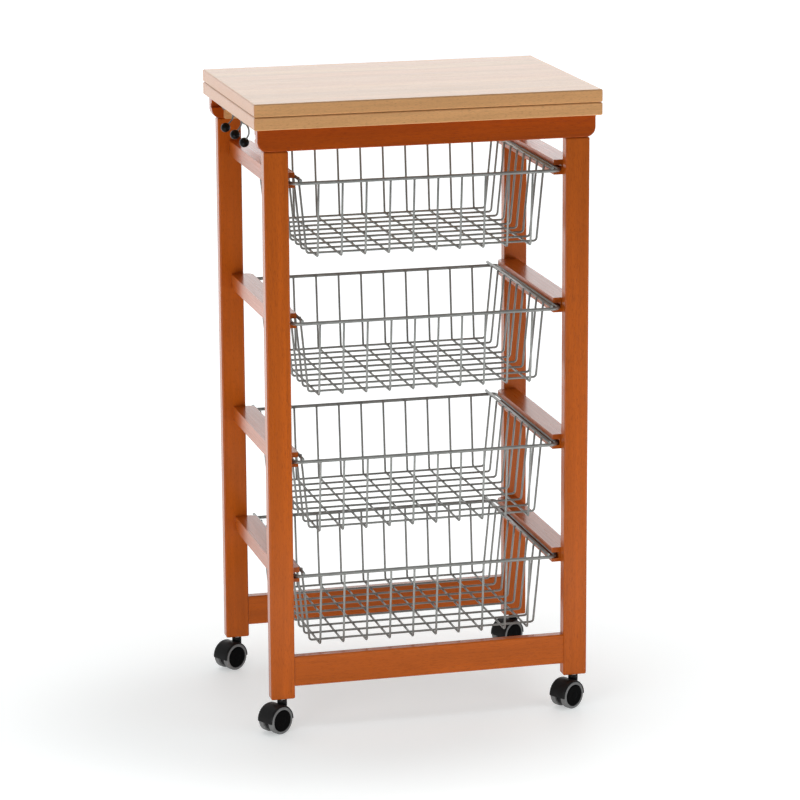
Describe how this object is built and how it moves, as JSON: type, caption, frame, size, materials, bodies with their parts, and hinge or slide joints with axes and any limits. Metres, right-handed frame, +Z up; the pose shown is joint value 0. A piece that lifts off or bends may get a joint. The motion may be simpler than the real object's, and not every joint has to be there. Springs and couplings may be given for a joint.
{
  "type": "kitchen cart",
  "caption": "Wheeled kitchen cart with a stained wooden frame, pull-out wire baskets on grooved rails, utensil hooks and a beech top that slides and folds open to double its length.",
  "frame": {"origin": "on the floor, under the middle of the top", "axes": "+X to the cart's right seen from its front, +Y from front to back, +Z up"},
  "size_m": [0.5084, 0.3714, 0.9079],
  "materials": {
    "natural_beech": "satin",
    "stained_beech": "satin lacquer",
    "basket_wire": "satin",
    "hook_steel": "bright",
    "hook_ball": "gloss",
    "caster_tyre": "matte",
    "caster_hub": "satin",
    "caster_hood": "satin",
    "fixing_steel": "zinc plated"
  },
  "bodies": {
    "frame": {"front_left_leg": "stained_beech", "front_right_leg": "stained_beech", "back_left_leg": "stained_beech", "back_right_leg": "stained_beech", "front_apron": "stained_beech", "back_apron": "stained_beech", "front_stretcher": "stained_beech", "back_stretcher": "stained_beech", "top_rails": "stained_beech", "upper_rails": "stained_beech", "lower_rails": "stained_beech", "bottom_rails": "stained_beech", "caster_stems": "fixing_steel"},
    "sliding_leaf": {"lower_leaf": "natural_beech", "top_runners": "natural_beech", "hinge_lower_plates": "fixing_steel", "hinge_pins": "fixing_steel"},
    "folding_leaf": {"upper_leaf": "natural_beech", "hinge_upper_plates": "fixing_steel"},
    "front_swivel_hook": {"front_hook": "hook_steel", "front_hook_ball": "hook_ball"},
    "middle_swivel_hook": {"middle_hook": "hook_steel", "middle_hook_ball": "hook_ball"},
    "back_swivel_hook": {"back_hook": "hook_steel", "back_hook_ball": "hook_ball"},
    "top_basket": {"top_basket_rim": "basket_wire", "top_basket_side_wires": "basket_wire", "top_basket_long_wires": "basket_wire", "top_basket_cross_wires": "basket_wire"},
    "upper_basket": {"upper_basket_rim": "basket_wire", "upper_basket_side_wires": "basket_wire", "upper_basket_long_wires": "basket_wire", "upper_basket_cross_wires": "basket_wire"},
    "lower_basket": {"lower_basket_rim": "basket_wire", "lower_basket_side_wires": "basket_wire", "lower_basket_long_wires": "basket_wire", "lower_basket_cross_wires": "basket_wire"},
    "bottom_basket": {"bottom_basket_rim": "basket_wire", "bottom_basket_side_wires": "basket_wire", "bottom_basket_long_wires": "basket_wire", "bottom_basket_cross_wires": "basket_wire"},
    "front_left_caster": {"front_left_caster_hood": "caster_hood"},
    "front_left_wheels": {"front_left_caster_axle": "fixing_steel", "front_left_caster_hubs": "caster_hub", "front_left_caster_tyres": "caster_tyre"},
    "front_right_caster": {"front_right_caster_hood": "caster_hood"},
    "front_right_wheels": {"front_right_caster_axle": "fixing_steel", "front_right_caster_hubs": "caster_hub", "front_right_caster_tyres": "caster_tyre"},
    "back_left_caster": {"back_left_caster_hood": "caster_hood"},
    "back_left_wheels": {"back_left_caster_axle": "fixing_steel", "back_left_caster_hubs": "caster_hub", "back_left_caster_tyres": "caster_tyre"},
    "back_right_caster": {"back_right_caster_hood": "caster_hood"},
    "back_right_wheels": {"back_right_caster_axle": "fixing_steel", "back_right_caster_hubs": "caster_hub", "back_right_caster_tyres": "caster_tyre"}
  },
  "joints": [
    {"name": "top_slide", "type": "slide", "parent": "frame", "child": "sliding_leaf", "axis": [-1, 0, 0], "range_m": [0, 0.25]},
    {"name": "leaf_hinge", "type": "hinge", "parent": "sliding_leaf", "child": "folding_leaf", "pos_m": [0.2503, 0, 0.8896], "axis": [0, 1, 0], "range_deg": [0, 180]},
    {"name": "front_hook_swivel", "type": "hinge", "parent": "sliding_leaf", "child": "front_swivel_hook", "pos_m": [-0.237, -0.036, 0.8713], "axis": [0, 0, 1], "continuous": true},
    {"name": "middle_hook_swivel", "type": "hinge", "parent": "sliding_leaf", "child": "middle_swivel_hook", "pos_m": [-0.237, 0.031, 0.8713], "axis": [0, 0, 1], "continuous": true},
    {"name": "back_hook_swivel", "type": "hinge", "parent": "sliding_leaf", "child": "back_swivel_hook", "pos_m": [-0.237, 0.098, 0.8713], "axis": [0, 0, 1], "continuous": true},
    {"name": "top_basket_slide", "type": "slide", "parent": "frame", "child": "top_basket", "axis": [0, -1, 0], "range_m": [0, 0.2]},
    {"name": "upper_basket_slide", "type": "slide", "parent": "frame", "child": "upper_basket", "axis": [0, -1, 0], "range_m": [0, 0.2]},
    {"name": "lower_basket_slide", "type": "slide", "parent": "frame", "child": "lower_basket", "axis": [0, -1, 0], "range_m": [0, 0.2]},
    {"name": "bottom_basket_slide", "type": "slide", "parent": "frame", "child": "bottom_basket", "axis": [0, -1, 0], "range_m": [0, 0.2]},
    {"name": "front_left_caster_swivel", "type": "hinge", "parent": "frame", "child": "front_left_caster", "pos_m": [-0.2175, -0.1555, 0.048], "axis": [0, 0, 1], "continuous": true},
    {"name": "front_left_wheel_spin", "type": "hinge", "parent": "front_left_caster", "child": "front_left_wheels", "pos_m": [-0.22876, -0.162, 0.02], "axis": [0.5, -0.866, 0], "continuous": true},
    {"name": "front_right_caster_swivel", "type": "hinge", "parent": "frame", "child": "front_right_caster", "pos_m": [0.2175, -0.1555, 0.048], "axis": [0, 0, 1], "continuous": true},
    {"name": "front_right_wheel_spin", "type": "hinge", "parent": "front_right_caster", "child": "front_right_wheels", "pos_m": [0.20624, -0.162, 0.02], "axis": [0.5, -0.866, 0], "continuous": true},
    {"name": "back_left_caster_swivel", "type": "hinge", "parent": "frame", "child": "back_left_caster", "pos_m": [-0.2175, 0.1555, 0.048], "axis": [0, 0, 1], "continuous": true},
    {"name": "back_left_wheel_spin", "type": "hinge", "parent": "back_left_caster", "child": "back_left_wheels", "pos_m": [-0.22876, 0.149, 0.02], "axis": [0.5, -0.866, 0], "continuous": true},
    {"name": "back_right_caster_swivel", "type": "hinge", "parent": "frame", "child": "back_right_caster", "pos_m": [0.2175, 0.1555, 0.048], "axis": [0, 0, 1], "continuous": true},
    {"name": "back_right_wheel_spin", "type": "hinge", "parent": "back_right_caster", "child": "back_right_wheels", "pos_m": [0.20624, 0.149, 0.02], "axis": [0.5, -0.866, 0], "continuous": true}
  ]
}
